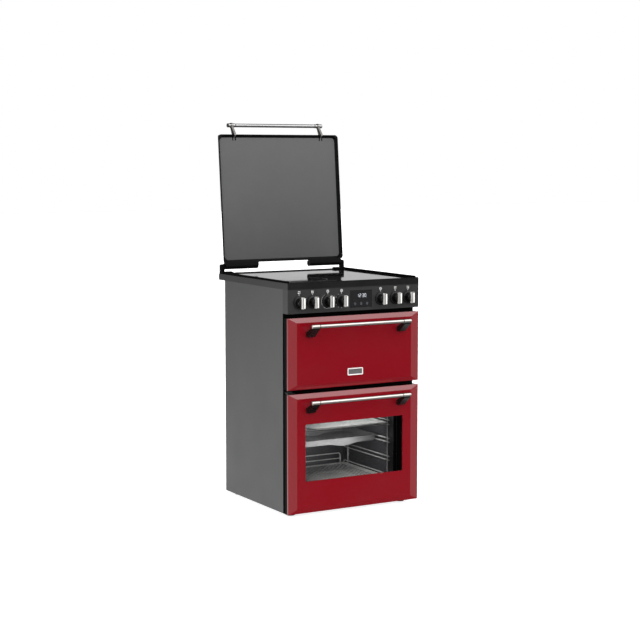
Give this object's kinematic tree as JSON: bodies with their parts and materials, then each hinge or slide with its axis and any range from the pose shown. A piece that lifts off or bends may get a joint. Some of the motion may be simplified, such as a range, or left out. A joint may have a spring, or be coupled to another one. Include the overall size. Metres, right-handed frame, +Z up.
{
  "type": "induction range cooker",
  "caption": "Freestanding double-oven cooker with a fold-up lid, a flush glass hob, a row of rotary controls, a drop-down grill door and a side-opening windowed oven door",
  "frame": {"origin": "on the floor under the middle of the whole cooker's box, which reaches from the door bars in front to the open lid's bar behind", "axes": "+X to the right of someone facing the cooker, +Y from the front to the back, +Z up"},
  "size_m": [0.6, 0.7256, 1.5395],
  "materials": {
    "red_enamel": "gloss",
    "black_paint": "satin",
    "grey_paint": "gloss",
    "oven_enamel": "gloss",
    "galvanised": "dull",
    "steel": "satin",
    "chromed": "satin",
    "dark_glass": "polished",
    "lid_trim": "gloss",
    "knob_plastic": "gloss",
    "technical_plastic": "matte",
    "circuit_board": "satin",
    "copper_wire": "satin",
    "seal_rubber": "matte",
    "mineral_wool": "matte",
    "heater_sheath": "dull",
    "lamp_glass": "clear"
  },
  "bodies": {
    "cooker": {"side_panel_left": "grey_paint", "side_panel_right": "grey_paint", "back_panel": "galvanised", "base_tray": "galvanised", "front_frame": "black_paint", "levelling_feet": "technical_plastic", "main_oven_cavity": "oven_enamel", "top_oven_cavity": "oven_enamel", "door_seals": "seal_rubber", "side_racks": "chromed", "fan_cover": "oven_enamel", "fan_motor": "technical_plastic", "ring_element": "heater_sheath", "oven_lamp": "lamp_glass", "grill_element": "heater_sheath", "insulation": "mineral_wool", "fascia": "black_paint", "display_glass": "dark_glass", "display_module": "circuit_board", "rotary_switches": "technical_plastic", "electronics_deck": "galvanised", "power_boards": "circuit_board", "blower_housing": "technical_plastic", "hob_frame": "black_paint", "hob_glass": "dark_glass", "induction_coils": "copper_wire", "coil_tray": "steel", "terminal_cover": "technical_plastic", "cable_clamp": "technical_plastic", "lid_hinge_brackets": "black_paint", "grill_hinge_brackets": "steel", "oven_hinge_brackets": "black_paint"},
    "lid": {"lid_frame": "lid_trim", "lid_panel": "dark_glass", "lid_hinge_barrels": "lid_trim", "lid_bar": "chromed", "lid_bar_posts": "chromed"},
    "grill_door": {"grill_door_skin": "red_enamel", "grill_door_frame": "black_paint", "grill_door_liner": "oven_enamel", "grill_door_bar": "chromed", "grill_bar_brackets": "knob_plastic"},
    "oven_door": {"oven_door_skin": "red_enamel", "oven_door_frame": "black_paint", "oven_door_outer_glass": "dark_glass", "oven_door_inner_glass": "dark_glass", "oven_door_bar": "chromed", "oven_bar_brackets": "knob_plastic"},
    "fan": {"oven_fan": "steel"},
    "blower": {"blower_wheel": "technical_plastic"},
    "upper_shelf": {"oven_shelf_upper": "chromed"},
    "lower_shelf": {"oven_shelf_lower": "chromed"},
    "tray": {"roasting_tray": "steel"},
    "knob_1_body": {"knob_1": "knob_plastic"},
    "knob_2_body": {"knob_2": "knob_plastic"},
    "knob_3_body": {"knob_3": "knob_plastic"},
    "knob_4_body": {"knob_4": "knob_plastic"},
    "knob_5_body": {"knob_5": "knob_plastic"},
    "knob_6_body": {"knob_6": "knob_plastic"},
    "knob_7_body": {"knob_7": "knob_plastic"}
  },
  "joints": [
    {"name": "lid_hinge", "type": "hinge", "parent": "cooker", "child": "lid", "pos_m": [0, 0.28591, 0.947], "axis": [1, 0, 0], "range_deg": [0, 95]},
    {"name": "grill_door_hinge", "type": "hinge", "parent": "cooker", "child": "grill_door", "pos_m": [0, -0.27759, 0.517], "axis": [1, 0, 0], "range_deg": [0, 90]},
    {"name": "oven_door_hinge", "type": "hinge", "parent": "cooker", "child": "oven_door", "pos_m": [-0.284, -0.28059, 0.25], "axis": [0, 0, -1], "range_deg": [0, 95]},
    {"name": "fan_spin", "type": "hinge", "parent": "cooker", "child": "fan", "pos_m": [0, 0.14241, 0.2475], "axis": [0, 1, 0], "continuous": true},
    {"name": "blower_spin", "type": "hinge", "parent": "cooker", "child": "blower", "pos_m": [0, 0.09241, 0.79], "axis": [0, 0, 1], "continuous": true},
    {"name": "upper_shelf_slide", "type": "slide", "parent": "cooker", "child": "upper_shelf", "axis": [0, -1, 0], "range_m": [0, 0.015]},
    {"name": "lower_shelf_slide", "type": "slide", "parent": "cooker", "child": "lower_shelf", "axis": [0, -1, 0], "range_m": [0, 0.015]},
    {"name": "tray_slide", "type": "slide", "parent": "cooker", "child": "tray", "axis": [0, -1, 0], "range_m": [0, 0.08]},
    {"name": "knob_1_turn", "type": "hinge", "parent": "cooker", "child": "knob_1_body", "pos_m": [-0.2499, -0.29759, 0.842], "axis": [0, 1, 0], "range_deg": [0, 270]},
    {"name": "knob_2_turn", "type": "hinge", "parent": "cooker", "child": "knob_2_body", "pos_m": [-0.1905, -0.29759, 0.842], "axis": [0, 1, 0], "range_deg": [0, 270]},
    {"name": "knob_3_turn", "type": "hinge", "parent": "cooker", "child": "knob_3_body", "pos_m": [-0.1221, -0.29759, 0.842], "axis": [0, 1, 0], "range_deg": [0, 270]},
    {"name": "knob_4_turn", "type": "hinge", "parent": "cooker", "child": "knob_4_body", "pos_m": [-0.06, -0.29759, 0.842], "axis": [0, 1, 0], "range_deg": [0, 270]},
    {"name": "knob_5_turn", "type": "hinge", "parent": "cooker", "child": "knob_5_body", "pos_m": [0.1197, -0.29759, 0.842], "axis": [0, 1, 0], "range_deg": [0, 270]},
    {"name": "knob_6_turn", "type": "hinge", "parent": "cooker", "child": "knob_6_body", "pos_m": [0.1887, -0.29759, 0.842], "axis": [0, 1, 0], "range_deg": [0, 270]},
    {"name": "knob_7_turn", "type": "hinge", "parent": "cooker", "child": "knob_7_body", "pos_m": [0.249, -0.29759, 0.842], "axis": [0, 1, 0], "range_deg": [0, 270]}
  ]
}
